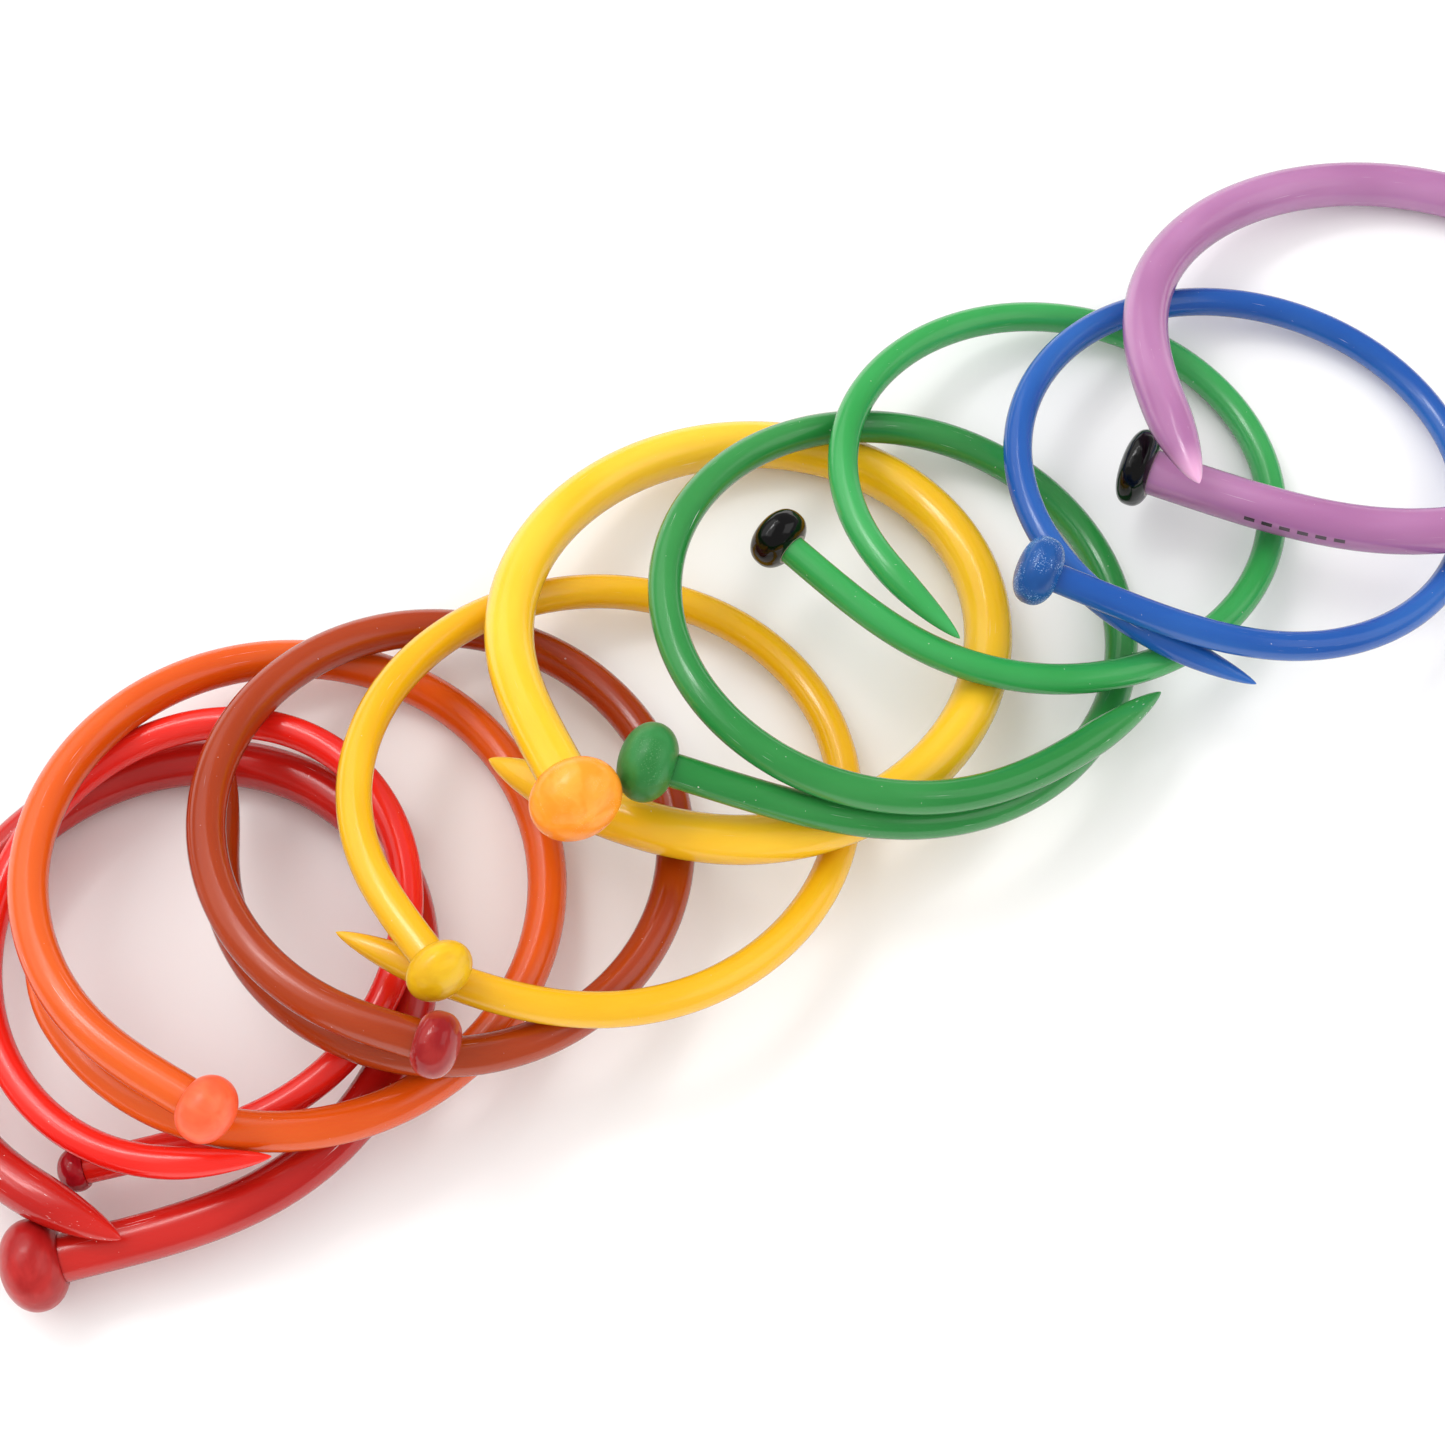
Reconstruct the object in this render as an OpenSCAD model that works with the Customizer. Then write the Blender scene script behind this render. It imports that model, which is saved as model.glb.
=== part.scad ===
// Ten single-pointed knitting needles. Each one is a plastic rod heat-bent into a bangle, and the ten
// bangles lie in a row, each leaning on the one before it.
// A needle is two glued pieces: a rod with a point at one end and a turned peg at the other, and a knob
// with a blind bore that takes the peg.
// Millimetres. +X runs along the row, +Z is up, the table is z = 0, and the origin is under the row's middle.

/* [Crimson needle] */
// Length of the crimson rod, measured along its bend
crimson_length = 233; // [227:1:237]
// Diameter of the crimson rod
crimson_d = 6.9; // [6.3:0.1:6.9]
// Radius of the crimson rod's bend at its middle
crimson_bend_r = 35; // [34:0.5:36]
// Diameter of the crimson needle's knob
crimson_knob_d = 13.2; // [11.7:0.1:13.2]
// Length of the crimson needle's knob along the rod
crimson_knob_length = 9.6; // [9:0.1:9.6]

/* [Scarlet needle] */
// Length of the scarlet rod, measured along its bend
scarlet_length = 226; // [220:1:230]
// Diameter of the scarlet rod
scarlet_d = 4.7; // [4.1:0.1:4.7]
// Radius of the scarlet rod's bend at its middle
scarlet_bend_r = 31; // [30:0.5:32]
// Diameter of the scarlet needle's knob
scarlet_knob_d = 6.4; // [6.3:0.1:6.4]
// Length of the scarlet needle's knob along the rod
scarlet_knob_length = 5.5; // [4.9:0.1:5.5]

/* [Orange needle] */
// Length of the orange rod, measured along its bend
orange_length = 278; // [272:1:282]
// Diameter of the orange rod
orange_d = 5.8; // [5.2:0.1:5.8]
// Radius of the orange rod's bend at its middle
orange_bend_r = 37.5; // [36.5:0.5:38.5]
// Diameter of the orange needle's knob
orange_knob_d = 9.7; // [8.2:0.1:9.7]
// Length of the orange needle's knob along the rod
orange_knob_length = 7.8; // [7.2:0.1:7.8]

/* [Rust needle] */
// Length of the rust rod, measured along its bend
rust_length = 285; // [279:1:289]
// Diameter of the rust rod
rust_d = 5.7; // [5.1:0.1:5.7]
// Radius of the rust rod's bend at its middle
rust_bend_r = 34.5; // [33.5:0.5:35.5]
// Diameter of the rust needle's knob
rust_knob_d = 9.4; // [7.9:0.1:9.4]
// Length of the rust needle's knob along the rod
rust_knob_length = 6.6; // [6:0.1:6.6]

/* [Gold needle] */
// Length of the gold rod, measured along its bend
gold_length = 242; // [236:1:246]
// Diameter of the gold rod
gold_d = 5.2; // [4.6:0.1:5.2]
// Radius of the gold rod's bend at its middle
gold_bend_r = 35.5; // [34.5:0.5:36.5]
// Diameter of the gold needle's knob
gold_knob_d = 9.9; // [8.4:0.1:9.9]
// Length of the gold needle's knob along the rod
gold_knob_length = 7.2; // [6.6:0.1:7.2]

/* [Yellow needle] */
// Length of the yellow rod, measured along its bend
yellow_length = 242; // [236:1:246]
// Diameter of the yellow rod
yellow_d = 7.3; // [6.7:0.1:7.3]
// Radius of the yellow rod's bend at its middle
yellow_bend_r = 35; // [34:0.5:36]
// Diameter of the yellow needle's knob
yellow_knob_d = 13.6; // [12.1:0.1:13.6]
// Length of the yellow needle's knob along the rod
yellow_knob_length = 10; // [9.4:0.1:10]

/* [Dark green needle] */
// Length of the dark green rod, measured along its bend
dark_green_length = 303; // [297:1:307]
// Diameter of the dark green rod
dark_green_d = 5; // [4.4:0.1:5]
// Radius of the dark green rod's bend at its middle
dark_green_bend_r = 35; // [34:0.5:36]
// Diameter of the dark green needle's knob
dark_green_knob_d = 11.7; // [10.2:0.1:11.7]
// Length of the dark green needle's knob along the rod
dark_green_knob_length = 8.5; // [7.9:0.1:8.5]

/* [Light green needle] */
// Length of the light green rod, measured along its bend
light_green_length = 240; // [234:1:244]
// Diameter of the light green rod
light_green_d = 4.6; // [4:0.1:4.6]
// Radius of the light green rod's bend at its middle
light_green_bend_r = 33.5; // [32.5:0.5:34.5]
// Diameter of the light green needle's knob
light_green_knob_d = 9.6; // [8.1:0.1:9.6]
// Length of the light green needle's knob along the rod
light_green_knob_length = 6.3; // [5.7:0.1:6.3]

/* [Blue needle] */
// Length of the blue rod, measured along its bend
blue_length = 248; // [242:1:252]
// Diameter of the blue rod
blue_d = 4.4; // [3.8:0.1:4.4]
// Radius of the blue rod's bend at its middle
blue_bend_r = 34; // [33:0.5:35]
// Diameter of the blue needle's knob
blue_knob_d = 10.4; // [8.9:0.1:10.4]
// Length of the blue needle's knob along the rod
blue_knob_length = 6.6; // [6:0.1:6.6]

/* [Mauve needle] */
// Length of the mauve rod, measured along its bend
mauve_length = 245; // [239:1:249]
// Diameter of the mauve rod
mauve_d = 7; // [6.4:0.1:7]
// Radius of the mauve rod's bend at its middle
mauve_bend_r = 35.5; // [34.5:0.5:36.5]
// Diameter of the mauve needle's knob
mauve_knob_d = 12; // [10.5:0.1:12]
// Length of the mauve needle's knob along the rod
mauve_knob_length = 5.3; // [4.7:0.1:5.3]

/* [Every needle] */
// Length of the pointed taper
taper_length = 15; // [13:0.5:17]
// Diameter of the peg, as a share of the rod's diameter
peg_ratio = 0.6; // [0.4:0.05:0.7]
// Depth of the knob's bore, as a share of the knob's length
bore_share = 0.6; // [0.4:0.05:0.7]
// Glue gap between peg and bore, on the radius
glue_gap = 0.05; // [0.02:0.01:0.1]

/* [Hidden] */

// Which way a rod turns, seen from above, on its way from knob to point
anticlockwise = 1;
clockwise = -1;

path_steps = 120;    // steps along a rod's centre line
skin_stride = 2;     // steps between rings of the rod's skin, outside the taper
skin_sides = 16;     // sides of a ring
taper_power = 1.7;   // how soon the taper reaches the rod's full width
point_power = 0.7;   // bluntness of the point: smaller is blunter
point_rings = [0.35, 0.8];    // extra rings that round the point, as shares of the last step
peg_gap = 0.3;       // room between the peg's end and the bore's floor
peg_root = 2;        // how far the peg's cylinder reaches back into the rod
seat_rim = 0.4;      // width of the knob's flat seat outside the rod
seat_gap = 0.02;     // film of glue between the rod's shoulder and the knob's seat
profile_steps = 20;  // points round a knob's outline
knob_fn = 96;
peg_fn = 48;

// Middle of the row's outline, taken off every place so that the origin is under it
row_middle = [13.9, 0.1, 0.02];

// ---- The bent rod -----------------------------------------------------------------------------

// How a rod is bent. heading: direction it leaves the knob; knob_run and tip_run: lengths over which
// the bend fades to straight at each end; oval, oval_at: how much tighter it turns where it runs in
// direction oval_at; tighten: how much tighter towards the point; climb: rise from knob to point,
// square to the coil's plane.
function bend(length, radius, way, heading, knob_run, tip_run, oval, oval_at, tighten, climb) =
    [length, radius, way, heading, knob_run, tip_run, oval, oval_at, tighten, climb];
function bend_length(b) = b[0];
function bend_radius(b) = b[1];
function bend_way(b) = b[2];
function bend_heading(b) = b[3];
function knob_run(b) = b[4];
function tip_run(b) = b[5];
function oval(b) = b[6];
function oval_at(b) = b[7];
function tighten(b) = b[8];
function climb(b) = b[9];

function ease(x) = let (t = min(1, max(0, x))) t * t * (3 - 2 * t);

// Angle turned in a step of length ds that is s from the knob, where the rod runs in direction a
function turned(b, s, ds, a) =
    bend_way(b) * ds / bend_radius(b) * 180 / PI
    * ease(s / knob_run(b)) * ease((bend_length(b) - s) / tip_run(b))
    * (1 + oval(b) * cos(2 * (a - oval_at(b))))
    * (1 + tighten(b) * (2 * s / bend_length(b) - 1));

// Centre line in the coil's own plane, as [x, y, heading], starting at the knob
function walk(b) =
    let (ds = bend_length(b) / path_steps)
    [for (
        i = 0, a = bend_heading(b), x = 0, y = 0, k = turned(b, ds / 2, ds, a);
        i <= path_steps;
        x = x + ds * cos(a + k / 2), y = y + ds * sin(a + k / 2), a = a + k,
        i = i + 1, k = turned(b, (i + 0.5) * ds, ds, a)
    ) [x, y, a]];

function total(list, i = 0) = i >= len(list) ? [0, 0, 0] : list[i] + total(list, i + 1);

// Centre line about the coil's own middle, as [x, y, z, heading]
function centre_line(b) =
    let (flat = walk(b), middle = total(flat) / len(flat))
    [for (i = [0:path_steps])
        [flat[i][0] - middle[0], flat[i][1] - middle[1], climb(b) * (i / path_steps - 0.5), flat[i][2]]];

function pitch(b) = atan(climb(b) / bend_length(b));

// Radius of the rod at distance x from its point
function taper_r(d, x) =
    let (share = min(1, x / taper_length)) d / 2 * pow(1 - pow(1 - share, taper_power), point_power);

// One ring of the skin: round the centre-line station c, square to the rod
function ring(c, r, p) =
    [for (j = [0:skin_sides - 1])
        let (t = 360 * j / skin_sides, side = r * cos(t), up = r * sin(t))
        [c[0] - side * sin(c[3]) - up * sin(p) * cos(c[3]),
         c[1] + side * cos(c[3]) - up * sin(p) * sin(c[3]),
         c[2] + up * cos(p)]];

function flat_list(rings) = [for (r = rings) for (v = r) v];

module rod_skin(b, d) {
    line = centre_line(b);
    ds = bend_length(b) / path_steps;
    taper_start = path_steps - ceil(taper_length / ds);
    body = [for (i = [0:path_steps - 1]) if (i % skin_stride == 0 || i > taper_start)
        ring(line[i], taper_r(d, (path_steps - i) * ds), pitch(b))];
    last = line[path_steps - 1];
    point = line[path_steps];
    nose = [for (share = point_rings)
        ring(last + share * (point - last), taper_r(d, (1 - share) * ds), pitch(b))];
    rings = concat(body, nose);
    count = len(rings);
    start_middle = count * skin_sides;
    apex = start_middle + 1;
    sides = [for (i = [0:count - 2], j = [0:skin_sides - 1])
        let (k = (j + 1) % skin_sides, near = i * skin_sides, far = near + skin_sides)
        each [[near + j, near + k, far + k], [near + j, far + k, far + j]]];
    start_cap = [for (j = [0:skin_sides - 1]) [start_middle, (j + 1) % skin_sides, j]];
    end_cap = [for (j = [0:skin_sides - 1])
        let (base = (count - 1) * skin_sides) [apex, base + j, base + (j + 1) % skin_sides]];
    xyz = concat(flat_list(rings), [[for (k = [0:2]) line[0][k]], [for (k = [0:2]) point[k]]]);
    polyhedron(points = xyz, faces = [for (f = concat(sides, start_cap, end_cap)) [f[2], f[1], f[0]]]);
}

// Puts its children at the rod's blunt end, with their +Z pointing out of it
module on_blunt_end(b) {
    start = centre_line(b)[0];
    translate([start[0], start[1], start[2]])
        rotate([0, -90 - pitch(b), start[3]])
            children();
}

function bore_depth(knob_length) = bore_share * knob_length;

module rod(b, d, knob_length) {
    peg_length = bore_depth(knob_length) - peg_gap;
    union() {
        rod_skin(b, d);
        on_blunt_end(b)
            translate([0, 0, -peg_root])
                rotate(180 / skin_sides)    // keeps the cylinder's seam off the edges of the end's faces
                    cylinder(d = peg_ratio * d, h = peg_root + peg_length, $fn = peg_fn);
    }
}

// ---- The knob ---------------------------------------------------------------------------------

// Outline of a knob from its seat to its top: an ellipse, squared up as square falls below 1
function knob_outline(knob_d, length, seat_r, square) =
    let (start = acos(pow(2 * seat_r / knob_d, 1 / square)))
    [for (i = [0:profile_steps])
        let (t = -start + (90 + start) * i / profile_steps, up = sin(t))
        [knob_d / 2 * pow(max(0, cos(t)), square), length / 2 * sign(up) * pow(abs(up), square)]];

// A knob with its seat at z = seat_gap and its top at +Z
module knob(rod_d, knob_d, length, square) {
    outline = knob_outline(knob_d, length, rod_d / 2 + seat_rim, square);
    seat_z = outline[0][1];
    bore_r = peg_ratio * rod_d / 2 + glue_gap;
    floor_z = seat_z + bore_depth(length);
    translate([0, 0, seat_gap - seat_z])
        rotate_extrude($fn = knob_fn)
            polygon(concat([[0, floor_z], [bore_r, floor_z], [bore_r, seat_z]], outline));
}

// Puts a coil in its place: its middle at a spot in the row, its plane leaning
module rest_at(at, lean, toward) {
    translate(at - row_middle)
        rotate([0, 0, toward])
            rotate([0, lean, 0])
                rotate([0, 0, -toward])
                    children();
}

// ---- The ten needles, from the lowest to the top one ------------------------------------------

crimson_bend = bend(
    length = crimson_length, radius = crimson_bend_r, way = anticlockwise, heading = -20.5,
    knob_run = 40, tip_run = 29, oval = 0.11, oval_at = 115,
    tighten = -0.01, climb = 6.3
);
module crimson_place() {
    rest_at(at = [-91.6, 6.4, 7.6], lean = 6.9, toward = 75) children();
}
module crimson_shaft() {
    color("#c81e2d") crimson_place() rod(crimson_bend, crimson_d, crimson_knob_length);
}
module crimson_knob() {
    color("#b81a2b") crimson_place() on_blunt_end(crimson_bend)
        knob(crimson_d, crimson_knob_d, crimson_knob_length, square = 0.95);
}

scarlet_bend = bend(
    length = scarlet_length, radius = scarlet_bend_r, way = anticlockwise, heading = -23,
    knob_run = 43, tip_run = 21, oval = 0.13, oval_at = 125,
    tighten = -0.13, climb = 8.3
);
module scarlet_place() {
    rest_at(at = [-86.3, 8.1, 12.1], lean = 6, toward = 125) children();
}
module scarlet_shaft() {
    color("#ea2a24") scarlet_place() rod(scarlet_bend, scarlet_d, scarlet_knob_length);
}
module scarlet_knob() {
    color("#a8152a") scarlet_place() on_blunt_end(scarlet_bend)
        knob(scarlet_d, scarlet_knob_d, scarlet_knob_length, square = 1);
}

orange_bend = bend(
    length = orange_length, radius = orange_bend_r, way = clockwise, heading = 114.5,
    knob_run = 19, tip_run = 14, oval = 0.1, oval_at = 120,
    tighten = 0.01, climb = -12.4
);
module orange_place() {
    rest_at(at = [-73.7, 9.1, 14], lean = 14.7, toward = 20.5) children();
}
module orange_shaft() {
    color("#ee6a1f") orange_place() rod(orange_bend, orange_d, orange_knob_length);
}
module orange_knob() {
    color("#ff7a4d") orange_place() on_blunt_end(orange_bend)
        knob(orange_d, orange_knob_d, orange_knob_length, square = 0.95);
}

rust_bend = bend(
    length = rust_length, radius = rust_bend_r, way = clockwise, heading = 129,
    knob_run = 14, tip_run = 28, oval = 0.09, oval_at = 140,
    tighten = 0.04, climb = -13.3
);
module rust_place() {
    rest_at(at = [-52.9, 3.9, 15.4], lean = 14.9, toward = 27) children();
}
module rust_shaft() {
    color("#b8471c") rust_place() rod(rust_bend, rust_d, rust_knob_length);
}
module rust_knob() {
    color("#b8323a") rust_place() on_blunt_end(rust_bend)
        knob(rust_d, rust_knob_d, rust_knob_length, square = 0.85);
}

gold_bend = bend(
    length = gold_length, radius = gold_bend_r, way = clockwise, heading = 91,
    knob_run = 19, tip_run = 47, oval = 0.15, oval_at = 105,
    tighten = 0.04, climb = -7.2
);
module gold_place() {
    rest_at(at = [-26.6, -4.5, 15.6], lean = 16.6, toward = 19.5) children();
}
module gold_shaft() {
    color("#f0c21a") gold_place() rod(gold_bend, gold_d, gold_knob_length);
}
module gold_knob() {
    color("#f2c81c") gold_place() on_blunt_end(gold_bend)
        knob(gold_d, gold_knob_d, gold_knob_length, square = 1);
}

yellow_bend = bend(
    length = yellow_length, radius = yellow_bend_r, way = clockwise, heading = 80.5,
    knob_run = 29, tip_run = 48, oval = 0.13, oval_at = 105,
    tighten = 0.07, climb = -14.5
);
module yellow_place() {
    rest_at(at = [5.7, 5.7, 12.6], lean = 14.8, toward = 44) children();
}
module yellow_shaft() {
    color("#f7cf2e") yellow_place() rod(yellow_bend, yellow_d, yellow_knob_length);
}
module yellow_knob() {
    color("#ffa834") yellow_place() on_blunt_end(yellow_bend)
        knob(yellow_d, yellow_knob_d, yellow_knob_length, square = 0.95);
}

dark_green_bend = bend(
    length = dark_green_length, radius = dark_green_bend_r, way = anticlockwise, heading = -48,
    knob_run = 44, tip_run = 44, oval = 0.14, oval_at = 90,
    tighten = 0.02, climb = 7
);
module dark_green_place() {
    rest_at(at = [25.1, -11.9, 16.3], lean = 18.3, toward = 4.5) children();
}
module dark_green_shaft() {
    color("#2f9447") dark_green_place() rod(dark_green_bend, dark_green_d, dark_green_knob_length);
}
module dark_green_knob() {
    color("#2f9447") dark_green_place() on_blunt_end(dark_green_bend)
        knob(dark_green_d, dark_green_knob_d, dark_green_knob_length, square = 0.95);
}

light_green_bend = bend(
    length = light_green_length, radius = light_green_bend_r, way = anticlockwise, heading = -78,
    knob_run = 31, tip_run = 28, oval = 0.13, oval_at = 80,
    tighten = 0.09, climb = 4.2
);
module light_green_place() {
    rest_at(at = [56.8, -0.7, 11.6], lean = 13.5, toward = 13) children();
}
module light_green_shaft() {
    color("#3fae5a") light_green_place() rod(light_green_bend, light_green_d, light_green_knob_length);
}
module light_green_knob() {
    color("#17130f") light_green_place() on_blunt_end(light_green_bend)
        knob(light_green_d, light_green_knob_d, light_green_knob_length, square = 0.85);
}

blue_bend = bend(
    length = blue_length, radius = blue_bend_r, way = anticlockwise, heading = -54,
    knob_run = 40, tip_run = 30, oval = 0.1, oval_at = 60,
    tighten = -0.01, climb = -5.2
);
module blue_place() {
    rest_at(at = [82.4, -16.3, 12.5], lean = 14.1, toward = 9.5) children();
}
module blue_shaft() {
    color("#1f5fbf") blue_place() rod(blue_bend, blue_d, blue_knob_length);
}
module blue_knob() {
    color("#2a66c0") blue_place() on_blunt_end(blue_bend)
        knob(blue_d, blue_knob_d, blue_knob_length, square = 0.85);
}

mauve_bend = bend(
    length = mauve_length, radius = mauve_bend_r, way = anticlockwise, heading = -59,
    knob_run = 46, tip_run = 48, oval = 0.2, oval_at = 60,
    tighten = -0.05, climb = 12.2
);
module mauve_place() {
    rest_at(at = [115.4, -9.8, 11.4], lean = 13.7, toward = 47) children();
}
module mauve_shaft() {
    color("#b56fb4") mauve_place() rod(mauve_bend, mauve_d, mauve_knob_length);
}
module mauve_knob() {
    color("#15161c") mauve_place() on_blunt_end(mauve_bend)
        knob(mauve_d, mauve_knob_d, mauve_knob_length, square = 0.75);
}

crimson_shaft();
crimson_knob();
scarlet_shaft();
scarlet_knob();
orange_shaft();
orange_knob();
rust_shaft();
rust_knob();
gold_shaft();
gold_knob();
yellow_shaft();
yellow_knob();
dark_green_shaft();
dark_green_knob();
light_green_shaft();
light_green_knob();
blue_shaft();
blue_knob();
mauve_shaft();
mauve_knob();
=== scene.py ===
"""Ten plastic knitting needles, each bent into a bangle, overlapping in a row from crimson to mauve."""
import math

import bmesh
import bpy
import numpy as np
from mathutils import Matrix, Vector


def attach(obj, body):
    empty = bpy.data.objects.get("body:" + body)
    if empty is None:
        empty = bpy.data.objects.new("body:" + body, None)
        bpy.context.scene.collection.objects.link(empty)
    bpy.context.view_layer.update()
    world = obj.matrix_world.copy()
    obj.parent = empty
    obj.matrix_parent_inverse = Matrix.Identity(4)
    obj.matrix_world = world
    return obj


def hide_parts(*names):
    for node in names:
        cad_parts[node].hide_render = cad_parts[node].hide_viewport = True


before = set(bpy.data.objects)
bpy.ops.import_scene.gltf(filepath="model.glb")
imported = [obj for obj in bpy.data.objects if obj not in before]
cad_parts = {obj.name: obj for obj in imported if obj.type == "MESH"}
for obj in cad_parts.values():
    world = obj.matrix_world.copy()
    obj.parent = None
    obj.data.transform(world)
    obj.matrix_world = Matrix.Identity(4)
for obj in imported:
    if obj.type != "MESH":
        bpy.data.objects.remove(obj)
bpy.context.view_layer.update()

MM = 0.001
NEEDLES = (
    "crimson", "scarlet", "orange", "rust", "gold",
    "yellow", "dark_green", "light_green", "blue", "mauve",
)

# ---- Measuring the CAD parts --------------------------------------------------------------------

RING_SIDES = 16         # vertices in a ring of a CAD shaft's skin
WELD = 1e-6             # vertices closer than this are one


def cad_rings(shaft):
    """Ring centres of a CAD shaft from its blunt end to its point, and the rod's radius."""
    mesh = bmesh.new()
    mesh.from_mesh(shaft.data)
    bmesh.ops.remove_doubles(mesh, verts=mesh.verts, dist=WELD)
    mesh.verts.index_update()

    def reach(v):
        return sum(e.calc_length() for e in v.link_edges)

    apex = min((v for v in mesh.verts if len(v.link_edges) == RING_SIDES), key=reach)
    seen = {apex}
    level = [apex]
    centres = [np.array(apex.co)]
    radii = [0.0]
    while True:
        level = {e.other_vert(v) for v in level for e in v.link_edges} - seen
        if len(level) != RING_SIDES:
            break
        seen |= level
        # Taken in a fixed order, so that every run finds exactly the same centre
        ring = np.array([v.co for v in sorted(level, key=lambda v: v.index)])
        centre = ring.mean(axis=0)
        centres.append(centre)
        radii.append(np.linalg.norm(ring - centre, axis=1).mean())
    mesh.free()
    return np.array(centres[::-1]), radii[-1]


def turning(seat, axis, node):
    """Heights along the axis and distances from it of a CAD knob's vertices."""
    places = np.empty(len(node.data.vertices) * 3)
    node.data.vertices.foreach_get("co", places)
    places = places.reshape(-1, 3) - seat
    heights = places @ axis
    distances = np.linalg.norm(places - heights[:, None] * axis, axis=1)
    return heights, distances


# ---- Building skins -----------------------------------------------------------------------------

REST = "rest_mm"        # a vertex's place on the straight, unbent piece, in millimetres
SHARP_EDGE = math.radians(40)       # an edge that bends more than this is shaded sharp


def skin(name, rings, start, end, rest):
    """A closed skin over rings of points, with a single point at each end."""
    count, sides = rings.shape[:2]
    places = np.vstack([rings.reshape(-1, 3), start, end])
    first, last = count * sides, count * sides + 1
    faces = []
    for i in range(count - 1):
        for j in range(sides):
            k = (j + 1) % sides
            faces.append((i * sides + j, i * sides + k, (i + 1) * sides + k, (i + 1) * sides + j))
    for j in range(sides):
        k = (j + 1) % sides
        faces.append((first, k, j))
        faces.append((last, (count - 1) * sides + j, (count - 1) * sides + k))
    mesh = bpy.data.meshes.new(name)
    mesh.from_pydata(places.tolist(), [], faces)
    mesh.attributes.new(REST, "FLOAT_VECTOR", "POINT").data.foreach_set("vector", rest.ravel())
    shell = bmesh.new()
    shell.from_mesh(mesh)
    bmesh.ops.recalc_face_normals(shell, faces=shell.faces)
    shell.to_mesh(mesh)
    shell.free()
    mesh.polygons.foreach_set("use_smooth", [True] * len(mesh.polygons))
    mesh.set_sharp_from_angle(angle=SHARP_EDGE)
    made = bpy.data.objects.new(name, mesh)
    bpy.context.scene.collection.objects.link(made)
    return made


def smooth_through(knots, values, at):
    """Values at the places `at`, on a smooth curve through the given values at the knots."""
    slopes = np.gradient(values, knots, axis=0)
    i = np.clip(np.searchsorted(knots, at, side="right") - 1, 0, len(knots) - 2)
    step = (knots[i + 1] - knots[i])[:, None]
    t = (at - knots[i])[:, None] / step
    return (
        (2 * t**3 - 3 * t**2 + 1) * values[i]
        + (t**3 - 2 * t**2 + t) * step * slopes[i]
        + (3 * t**2 - 2 * t**3) * values[i + 1]
        + (t**3 - t**2) * step * slopes[i + 1]
    )


TAPER_LENGTH = 15 * MM
TAPER_POWER = 1.7       # how soon the taper reaches the rod's full width
POINT_POWER = 0.7       # bluntness of the point: smaller is blunter
PEG_RATIO = 0.6         # diameter of the peg inside the knob, as a share of the rod's
PEG_LENGTH = 0.5        # length of the peg, as a share of the knob's length
ROD_SIDES = 40
ROD_STEP = 1.0 * MM     # between rings, outside the taper
TAPER_STEPS = 48        # rings along the taper, closer together toward the point


def rod_piece(name, centres, radius, peg_length):
    """The rod with its point and the peg that its knob is glued on."""
    gaps = np.linalg.norm(np.diff(centres, axis=0), axis=1)
    knots = np.concatenate([[0.0], np.cumsum(gaps)])
    length = knots[-1]
    straight = length - TAPER_LENGTH
    even = np.linspace(0, straight, int(straight / ROD_STEP))
    ease_out = 1 - (1 - np.linspace(0, 1, TAPER_STEPS + 1)[1:-1]) ** 2
    at = np.concatenate([even, straight + TAPER_LENGTH * ease_out])
    line = smooth_through(knots, centres, at)
    end = centres[-1]
    heading = np.gradient(np.vstack([line, end]), axis=0)[:-1]
    heading /= np.linalg.norm(heading, axis=1)[:, None]
    # Square to the plane that the coil lies nearest to, and upward
    upright = np.linalg.svd(centres - centres.mean(axis=0))[2][2]
    upright *= np.sign(upright[2])
    side = np.cross(upright, heading)
    side /= np.linalg.norm(side, axis=1)[:, None]
    up = np.cross(heading, side)
    left = np.minimum(1, (length - at) / TAPER_LENGTH)
    radii = radius * (1 - (1 - left) ** TAPER_POWER) ** POINT_POWER
    # The peg comes first: its end, its root, then the rod's blunt end
    back = -heading[0]
    line = np.vstack([line[0] + back * peg_length, line[0], line])
    side = np.vstack([side[0], side[0], side])
    up = np.vstack([up[0], up[0], up])
    radii = np.concatenate([[PEG_RATIO * radius] * 2, radii])
    at = np.concatenate([[-peg_length, 0.0], at])
    angles = np.linspace(0, 2 * math.pi, ROD_SIDES, endpoint=False)
    across = radii[:, None] * np.cos(angles)
    upward = radii[:, None] * np.sin(angles)
    rings = line[:, None] + across[..., None] * side[:, None] + upward[..., None] * up[:, None]
    along = np.repeat(at[:, None], ROD_SIDES, axis=1)
    rest = np.stack([along, across, upward], axis=-1).reshape(-1, 3)
    rest = np.vstack([rest, [-peg_length, 0, 0], [length, 0, 0]]) / MM
    return skin(name, rings, line[0], end, rest), length


KNOB_SIDES = 96
KNOB_STEPS = 56         # rings from the knob's seat to its crown
SEAT_LIMIT = 0.9        # widest flat seat, as a share of the knob's own radius
BORE_DEPTH = 0.6        # depth of the bore, as a share of the knob's length
GLUE_GAP = 0.05 * MM    # between the peg and the bore


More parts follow.
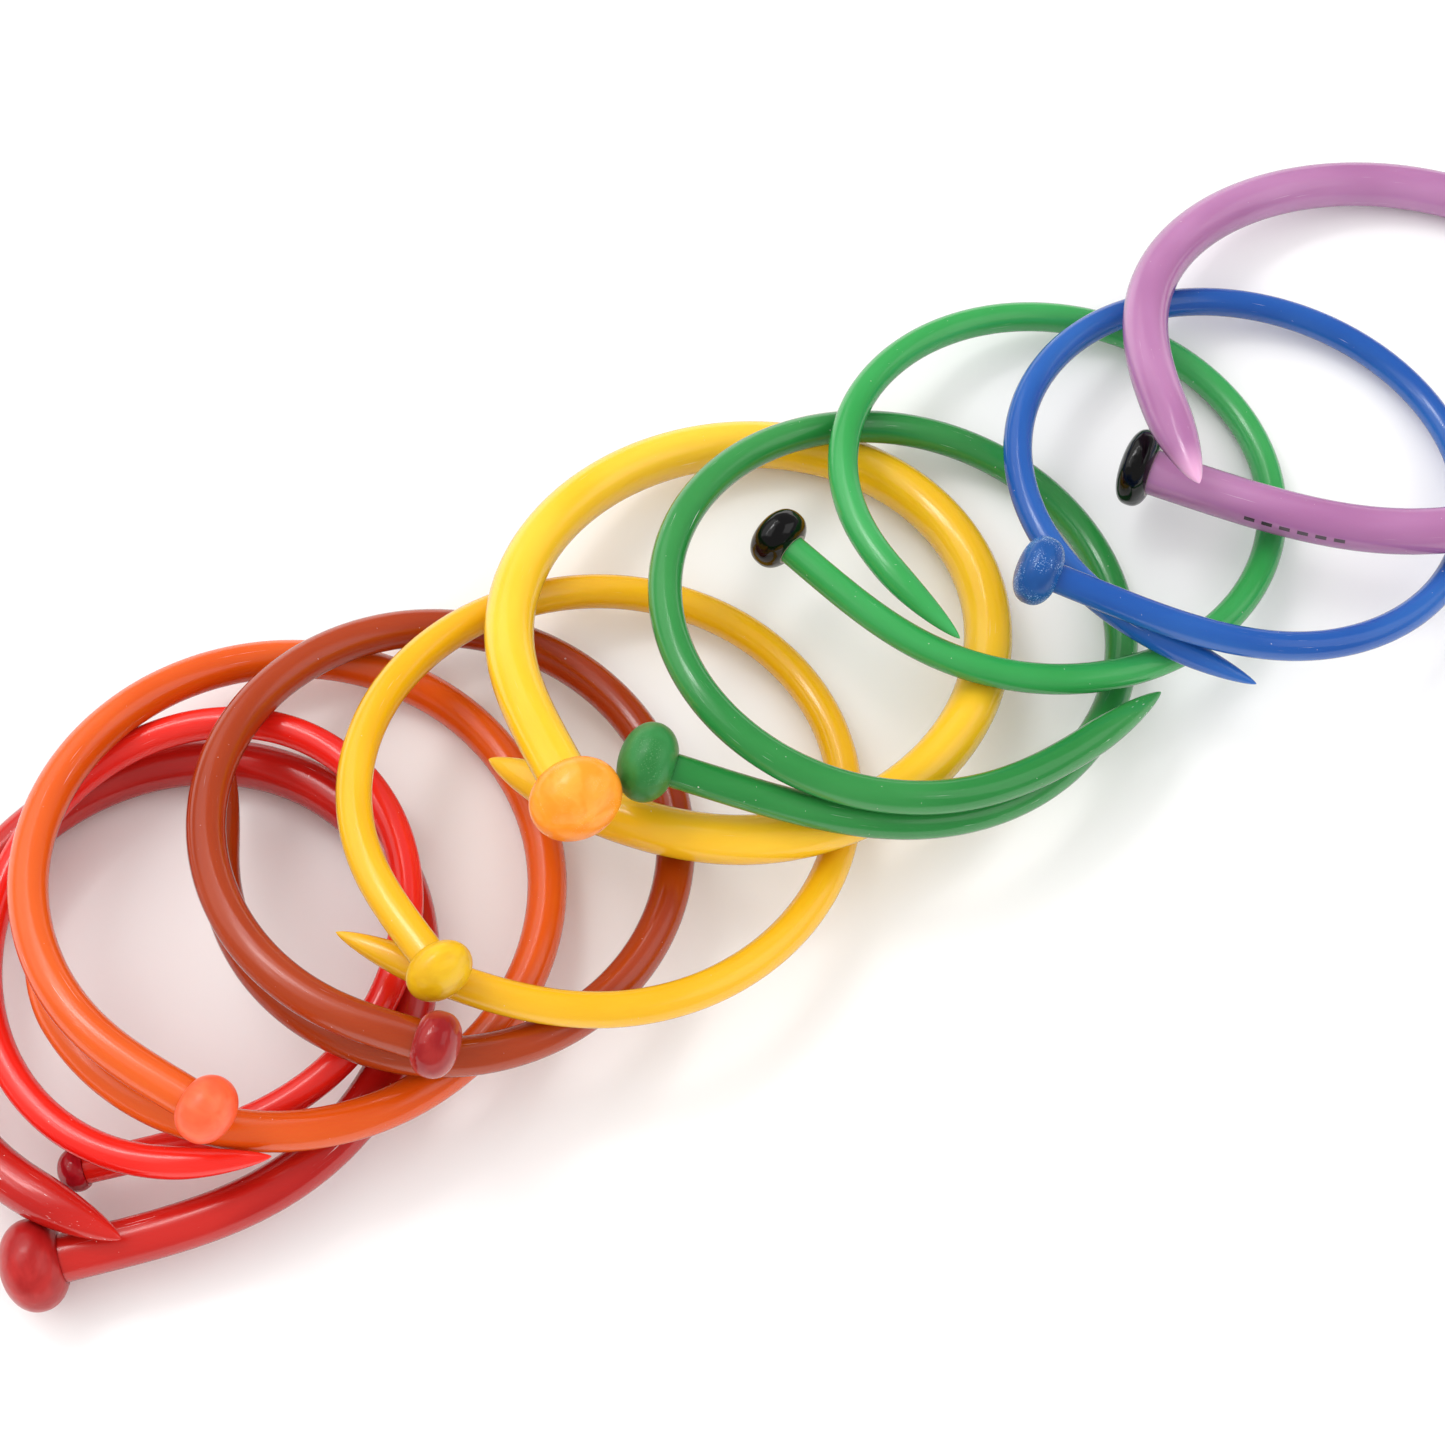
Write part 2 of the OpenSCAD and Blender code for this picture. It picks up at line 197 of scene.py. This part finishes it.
def knob_piece(name, seat, axis, rod_radius, node, look):
    """A knob turned about the rod's end, with a blind bore for the peg."""
    heights, distances = turning(seat, axis, node)
    low, high = heights.min(), heights.max()
    wide = distances.max()
    square = look["square"]
    seat_radius = min(rod_radius + look["rim"] * MM, wide * SEAT_LIMIT)
    # The profile is a superellipse, cut flat where it meets the seat
    start = math.acos((seat_radius / wide) ** (1 / square))
    turn = np.linspace(-start, math.pi / 2, KNOB_STEPS + 1)[:-1]
    out = wide * np.cos(turn) ** square
    rise = np.sign(turn) * np.abs(np.sin(turn)) ** square
    rise = (rise - rise[0]) / (1 - rise[0])
    tall = low + (high - low) * rise
    bore = PEG_RATIO * rod_radius + GLUE_GAP
    bore_floor = low + BORE_DEPTH * (high - low)
    out = np.concatenate([[bore, bore], out])
    tall = np.concatenate([[bore_floor, low], tall])
    angles = np.linspace(0, 2 * math.pi, KNOB_SIDES, endpoint=False)
    across = np.cross(axis, (0.0, 0.0, 1.0))
    across /= np.linalg.norm(across)
    upward = np.cross(across, axis)
    x = out[:, None] * np.cos(angles)
    y = out[:, None] * np.sin(angles)
    z = np.repeat(tall[:, None], KNOB_SIDES, axis=1)
    rings = seat + x[..., None] * across + y[..., None] * upward + z[..., None] * axis
    rest = np.stack([z, x, y], axis=-1).reshape(-1, 3)
    rest = np.vstack([rest, [bore_floor, 0, 0], [high, 0, 0]]) / MM
    return skin(name, rings, seat + axis * bore_floor, seat + axis * high, rest)


# ---- Paint --------------------------------------------------------------------------------------


def rgb(code):
    """A linear colour from its usual six-digit code."""
    shares = [int(code[i:i + 2], 16) / 255 for i in (1, 3, 5)]
    linear = [s / 12.92 if s <= 0.04045 else ((s + 0.055) / 1.055) ** 2.4 for s in shares]
    return (*linear, 1.0)


def dimmed(colour, share):
    """The same colour with only a share of its light."""
    return (*(share * part for part in colour[:3]), 1.0)


DUST = "#f4f2ee"
PRINT = "#3a2636"
SET_GLUE = "#8c8478"
SHADED = 0.6            # painted shade: light left in the deep colour at the rod's outline
MILK_SPREAD = (1.0, 0.6, 0.5)       # how far red, green and blue light spread inside the plastic
DASH_SHARE = 0.6        # part of the pitch that a dash covers
DASH_HALF_WIDTH = 0.1   # radians round the rod
GLUE_DEPTH_MM = 1.0     # how far along the knob, from its seat, glue can show


class Paint:
    """A procedural material, with short calls for the nodes that it is made of."""

    def __init__(self, name):
        self.material = bpy.data.materials.new(name)
        self.material.use_nodes = True
        self.nodes = self.material.node_tree.nodes
        self.links = self.material.node_tree.links
        self.nodes.clear()
        self.rest = self.add("ShaderNodeAttribute", attribute_name=REST).outputs["Vector"]
        self.along, self.side, self.up = self.add(
            "ShaderNodeSeparateXYZ", {"Vector": self.rest}
        ).outputs

    def add(self, kind, inputs=None, **settings):
        """A new node. An input is either a value or another node's output."""
        made = self.nodes.new(kind)
        for key, value in settings.items():
            setattr(made, key, value)
        for key, value in (inputs or {}).items():
            if isinstance(value, bpy.types.NodeSocket):
                self.links.new(value, made.inputs[key])
            else:
                made.inputs[key].default_value = value
        return made

    def stretched(self, x, y, z):
        """Rest places scaled on each axis: marks come out long where the number is small."""
        return self.add("ShaderNodeMapping", {"Vector": self.rest, "Scale": (x, y, z)}).outputs[0]

    def noise(self, vector, scale=1.0, detail=2.0, seed=0.0, warp=0.0):
        """Soft random patches between 0 and 1."""
        return self.add(
            "ShaderNodeTexNoise",
            {"Vector": vector, "Scale": scale, "Detail": detail, "W": seed, "Distortion": warp},
            noise_dimensions="4D",
        ).outputs["Fac"]

    def ramp(self, value, low, high, to_low=0.0, to_high=1.0):
        """The value eased from low..high to to_low..to_high, and held beyond."""
        return self.add(
            "ShaderNodeMapRange",
            {"Value": value, "From Min": low, "From Max": high, "To Min": to_low, "To Max": to_high},
            interpolation_type="SMOOTHSTEP",
        ).outputs["Result"]

    def math(self, operation, a, b=0.0):
        """A sum on two values, or on the first alone where the operation takes one."""
        return self.add("ShaderNodeMath", {0: a, 1: b}, operation=operation).outputs[0]

    def mix(self, factor, a, b):
        """Colour a where the factor is 0 and colour b where it is 1."""
        made = self.add("ShaderNodeMix", {0: factor, 6: a, 7: b}, data_type="RGBA")
        return made.outputs[2]

    def grazing(self, low, high):
        """Rises to 1 where the surface turns away from the viewer."""
        facing = self.add("ShaderNodeLayerWeight", {"Blend": 0.5}).outputs["Facing"]
        return self.ramp(facing, low, high)

    def bump(self, height, depth, normal=None):
        """Relief of a depth in millimetres, on top of any relief that is there already."""
        inputs = {"Height": height, "Distance": depth * MM, "Strength": 1.0}
        if normal is not None:
            inputs["Normal"] = normal
        return self.add("ShaderNodeBump", inputs).outputs["Normal"]

    def finish(self, inputs):
        """The plastic itself."""
        shader = self.add("ShaderNodeBsdfPrincipled", inputs)
        end = self.add("ShaderNodeOutputMaterial")
        self.links.new(shader.outputs[0], end.inputs["Surface"])
        return self.material


def rod_paint(name, look, length_mm, seed):
    """Glossy, slightly cloudy coloured plastic with fine rub marks along the rod, and painted shade at
    its outline.
    """
    paint = Paint(name)
    cloud = paint.noise(paint.stretched(0.03, 0.12, 0.12), seed=seed)
    colour = paint.mix(paint.ramp(cloud, 0.35, 0.65), rgb(look["deep"]), rgb(look["pale"]))
    # Painted shade: toward the outline, where the rod turns away, the colour darkens to a dimmed deep
    # shade.
    outline_shading = paint.math("MULTIPLY", paint.grazing(0.55, 0.95), 0.8)
    colour = paint.mix(outline_shading, colour, dimmed(rgb(look["deep"]), SHADED))
    tip = paint.ramp(paint.along, length_mm - look["tip_mm"], length_mm)
    colour = paint.mix(tip, colour, rgb(look["tip"]))
    fine = paint.noise(paint.stretched(0.12, 5.0, 5.0), seed=seed + 1, detail=3.0)
    rubs = paint.ramp(fine, 0.66, 0.74)
    where = paint.ramp(paint.noise(paint.stretched(0.05, 0.2, 0.2), seed=seed + 2), 0.5, 0.62)
    worn = paint.math("MULTIPLY", rubs, where)
    worn = paint.math("MULTIPLY", worn, look["wear"])
    colour = paint.mix(worn, colour, rgb(look["rub"]))
    dust = paint.noise(paint.rest, scale=2.4, detail=0.0, seed=seed + 5)
    colour = paint.mix(paint.ramp(dust, 0.84, 0.88, 0.0, look["wear"]), colour, rgb(DUST))
    if "marks" in look:
        colour = paint.mix(dashes(paint, look["marks"]), colour, rgb(PRINT))
    waves = paint.noise(paint.stretched(0.06, 0.3, 0.3), seed=seed + 3)
    normal = paint.bump(waves, 0.08)
    grain = paint.noise(paint.stretched(0.12, 4.0, 4.0), seed=seed + 4)
    normal = paint.bump(grain, 0.008, normal)
    rough = paint.ramp(cloud, 0.3, 0.7, look["gloss"], look["gloss"] + 0.08)
    rough = paint.math("ADD", rough, paint.math("MULTIPLY", worn, 0.25))
    return paint.finish({
        "Base Color": colour,
        "Roughness": rough,
        "Normal": normal,
        "Subsurface Weight": look["milk"],
        "Subsurface Radius": MILK_SPREAD,
        "Subsurface Scale": 2.0 * MM,
        "IOR": 1.5,
        "Specular IOR Level": 0.6,
    })


def dashes(paint, marks):
    """A short row of plain equal dashes printed along the rod, at an angle round it."""
    start, pitch, count, turn = marks
    from_start = paint.math("SUBTRACT", paint.along, start)
    cell = paint.math("FRACT", paint.math("DIVIDE", from_start, pitch))
    inside = paint.math("LESS_THAN", cell, DASH_SHARE)
    after = paint.math("GREATER_THAN", from_start, 0.0)
    before = paint.math("LESS_THAN", from_start, pitch * count)
    round_rod = paint.math("ARCTAN2", paint.side, paint.up)
    off_line = paint.math("ABSOLUTE", paint.math("SUBTRACT", round_rod, turn))
    narrow = paint.math("LESS_THAN", off_line, DASH_HALF_WIDTH)
    shown = paint.math("MULTIPLY", inside, after)
    shown = paint.math("MULTIPLY", shown, before)
    return paint.math("MULTIPLY", shown, narrow)


def glue_line(paint, reach):
    """A thin ring of set glue on a knob's seat, out to a distance from its axis."""
    across = paint.math("MULTIPLY", paint.side, paint.side)
    upward = paint.math("MULTIPLY", paint.up, paint.up)
    distance = paint.math("SQRT", paint.math("ADD", across, upward))
    near_rod = paint.math("LESS_THAN", distance, reach)
    on_seat = paint.math("LESS_THAN", paint.along, GLUE_DEPTH_MM)
    return paint.math("MULTIPLY", near_rod, on_seat)


def knob_paint(name, look, seed):
    """Moulded plastic with soft streaks, as far as the look asks for them, and painted light and shade
    at its outline.
    """
    paint = Paint(name)
    flow = paint.noise(paint.stretched(*look["flow"]), seed=seed, detail=3.0, warp=0.6)
    colour = paint.mix(paint.ramp(flow, 0.36, 0.66), rgb(look["deep"]), rgb(look["pale"]))
    # Painted light and shade at the outline: where the knob turns away, its colour goes to its outline
    # colour, paler on some knobs and darker on others.
    colour = paint.mix(paint.grazing(0.35, 0.85), colour, rgb(look["outline_shading"]))
    speckle = paint.noise(paint.rest, scale=4.5, detail=4.0, seed=seed + 1)
    patch = paint.ramp(paint.noise(paint.rest, scale=0.35, seed=seed + 2), 0.45, 0.6)
    worn = paint.math("MULTIPLY", paint.ramp(speckle, 0.56, 0.66), patch)
    worn = paint.math("MULTIPLY", worn, look["wear"])
    colour = paint.mix(worn, colour, rgb(look["rub"]))
    if "glue" in look:
        colour = paint.mix(glue_line(paint, look["glue"]), colour, rgb(SET_GLUE))
    dents = paint.noise(paint.rest, scale=0.25, seed=seed + 3)
    normal = paint.bump(dents, 0.35)
    normal = paint.bump(paint.noise(paint.rest, scale=2.0, seed=seed + 4), 0.01, normal)
    rough = paint.math("ADD", look["gloss"], paint.math("MULTIPLY", worn, 0.3))
    return paint.finish({
        "Base Color": colour,
        "Roughness": rough,
        "Normal": normal,
        "Subsurface Weight": look["milk"],
        "Subsurface Radius": MILK_SPREAD,
        "Subsurface Scale": 2.5 * MM,
        "IOR": 1.45,
    })


# ---- How each needle looks ----------------------------------------------------------------------
#
# deep and pale are the plastic's two shades, and milk is how cloudy it is. gloss is its roughness.
# wear is the share of rub marks, in the colour rub. marks are the printed dashes: where they start
# and how far apart they are in millimetres, how many, and their angle round the rod in radians.
# square shapes a knob: 1 is round and less is boxier. rim is the seat's width round the rod and glue
# the reach of the set glue from the axis, both in millimetres. flow scales the streaks along and
# across the knob: they come out long where the number is small.


def rod_look(deep, pale, tip=None, tip_mm=14, rub="#ffffff", wear=0.25, gloss=0.15, milk=0.25, **more):
    """A rod's colours and finish. Its colour turns to that of the tip over the last tip_mm."""
    return dict(
        deep=deep, pale=pale, tip=tip or pale, tip_mm=tip_mm, rub=rub,
        wear=wear, gloss=gloss, milk=milk, **more,
    )


def knob_look(deep, pale, outline_shading=None, square=0.95, rim=0.4, flow=(0.3, 0.12, 0.3), rub="#ffffff",
              wear=0.0, gloss=0.22, milk=0.3, **more):
    """A knob's colours, finish and fullness. Its outline takes a further colour, painted light and
    shade where the surface turns away.
    """
    return dict(
        deep=deep, pale=pale, outline_shading=outline_shading or deep, square=square, rim=rim, flow=flow, rub=rub,
        wear=wear, gloss=gloss, milk=milk, **more,
    )


RODS = {
    "crimson": rod_look("#a6100c", "#c01e16", wear=0.75),
    "scarlet": rod_look("#de160e", "#ea261a"),
    "orange": rod_look("#ce4c08", "#d85812"),
    "rust": rod_look("#922e04", "#9e3608"),
    "gold": rod_look("#dca60c", "#e8b220"),
    "yellow": rod_look("#e6b414", "#f0c030"),
    "dark_green": rod_look("#227a36", "#328842", wear=0.6),
    "light_green": rod_look("#2a9244", "#3a9e54"),
    "blue": rod_look("#164e9c", "#245eaa", wear=0.5),
    "mauve": rod_look("#9c6492", "#ae78a4", tip="#dca6ca", tip_mm=7, marks=(15.5, 2.65, 6, -1.4)),
}

KNOBS = {
    # The outline colours are painted light and shade: a painted pale rim on the rust and blue knobs, a
    # painted brown reflection on the black light-green knob, and painted shade in the deep colour on
    # the rest.
    "crimson": knob_look("#9e1414", "#b42624", gloss=0.28),
    "scarlet": knob_look("#98101c", "#b41c28", square=1.0, gloss=0.1),
    "orange": knob_look("#ee5830", "#f86c40", flow=(0.1, 0.35, 0.35), gloss=0.3),
    "rust": knob_look("#8a161a", "#9c2826", outline_shading="#a43e3a", square=0.85, gloss=0.12),
    "gold": knob_look("#d2a20a", "#e0b418", square=1.0, gloss=0.26),
    "yellow": knob_look(
        "#f8921e", "#fca43a", flow=(0.1, 0.3, 0.3), wear=0.15, rub="#ffe0a0", gloss=0.24
    ),
    "dark_green": knob_look("#237533", "#2f8141", wear=0.15, rub="#a8d8a8", gloss=0.36),
    "light_green": knob_look(
        "#040304", "#060505", outline_shading="#1c0e06", square=0.85, gloss=0.12, milk=0.0, glue=2.6
    ),
    "blue": knob_look(
        "#0e4688", "#165094", outline_shading="#1e5a9c", square=0.85, wear=0.9, rub="#9cc0ea", gloss=0.27
    ),
    "mauve": knob_look("#040404", "#060606", square=0.75, gloss=0.14, milk=0.0, glue=3.85),
}

for number, needle in enumerate(NEEDLES):
    shaft_node, knob_node = needle + "_shaft", needle + "_knob"
    centres, radius = cad_rings(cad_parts[shaft_node])
    seat = centres[0]
    axis = centres[0] - centres[1]
    axis /= np.linalg.norm(axis)
    heights, _ = turning(seat, axis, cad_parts[knob_node])
    peg_length = PEG_LENGTH * (heights.max() - heights.min())
    rod, length = rod_piece(needle + "_shaft_shown", centres, radius, peg_length)
    knob = knob_piece(
        needle + "_knob_shown", seat, axis, radius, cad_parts[knob_node], KNOBS[needle]
    )
    rod.data.materials.append(
        rod_paint(needle + "_rod_plastic", RODS[needle], length / MM, seed=10.0 * number)
    )
    knob.data.materials.append(
        knob_paint(needle + "_knob_plastic", KNOBS[needle], seed=10.0 * number + 5)
    )
    for piece, node in ((rod, shaft_node), (knob, knob_node)):
        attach(piece, needle + "_needle")
        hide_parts(node)

# ---- Floor, light and camera --------------------------------------------------------------------

FLOOR_SIZE = 6.0
SENSOR_MM = 36
LENS_MM = 82.2
CAMERA_PLACE = Vector((-118.6, -155.4, 463.5)) * MM
CAMERA_AIM = Vector((-13.9, -0.1, 0)) * MM


def floor():
    """A pale, plain floor under the row."""
    half = FLOOR_SIZE / 2
    mesh = bpy.data.meshes.new("floor")
    corners = [(-half, -half, 0), (half, -half, 0), (half, half, 0), (-half, half, 0)]
    mesh.from_pydata(corners, [], [(0, 1, 2, 3)])
    made = bpy.data.objects.new("floor", mesh)
    bpy.context.scene.collection.objects.link(made)
    material = bpy.data.materials.new("floor_paper")
    material.use_nodes = True
    shader = material.node_tree.nodes["Principled BSDF"]
    shader.inputs["Base Color"].default_value = (0.86, 0.86, 0.86, 1)
    shader.inputs["Roughness"].default_value = 0.9
    shader.inputs["Specular IOR Level"].default_value = 0.1
    mesh.materials.append(material)


def softbox(name, place, size, watts):
    """A rectangular area light at a place, aimed at the middle of the row."""
    lamp = bpy.data.lights.new(name, "AREA")
    lamp.shape = "RECTANGLE"
    lamp.size, lamp.size_y = size
    lamp.energy = watts
    made = bpy.data.objects.new(name, lamp)
    made.location = place
    made.rotation_mode = "QUATERNION"
    made.rotation_quaternion = (-Vector(place)).to_track_quat("-Z", "Y")
    bpy.context.scene.collection.objects.link(made)


def surroundings(lit, mirrored):
    """Pale surroundings that light softly, and that gloss mirrors more faintly."""
    world = bpy.data.worlds.new("pale_surroundings")
    world.use_nodes = True
    nodes, links = world.node_tree.nodes, world.node_tree.links
    shade = nodes["Background"]
    shade.inputs["Color"].default_value = (1.0, 0.99, 0.98, 1)
    rays = nodes.new("ShaderNodeLightPath")
    strength = nodes.new("ShaderNodeMapRange")
    strength.inputs["To Min"].default_value = lit
    strength.inputs["To Max"].default_value = mirrored
    links.new(rays.outputs["Is Glossy Ray"], strength.inputs["Value"])
    links.new(strength.outputs["Result"], shade.inputs["Strength"])
    bpy.context.scene.world = world


def camera():
    """The camera looks down on the row at a steep angle, with the row rising to the right."""
    lens = bpy.data.cameras.new("camera")
    lens.sensor_width = SENSOR_MM
    lens.lens = LENS_MM
    lens.clip_start = 0.01
    lens.clip_end = 20
    made = bpy.data.objects.new("camera", lens)
    made.location = CAMERA_PLACE
    made.rotation_mode = "QUATERNION"
    made.rotation_quaternion = (CAMERA_AIM - CAMERA_PLACE).to_track_quat("-Z", "Y")
    bpy.context.scene.collection.objects.link(made)
    bpy.context.scene.camera = made


floor()
softbox("wall", (-0.35, 1.0, 1.1), size=(2.2, 1.6), watts=8)
for pane in (-0.3, -0.02):
    softbox("window_pane", (pane, 0.75, 1.35), size=(0.24, 0.2), watts=1.3)
softbox("ridge", (-0.25, 0.8, 1.2), size=(1.8, 0.03), watts=2.2)
softbox("fill", (0.9, -0.6, 0.9), size=(1.2, 0.9), watts=2.6)
surroundings(lit=1.2, mirrored=0.3)
camera()
bpy.context.scene.view_settings.view_transform = "Standard"
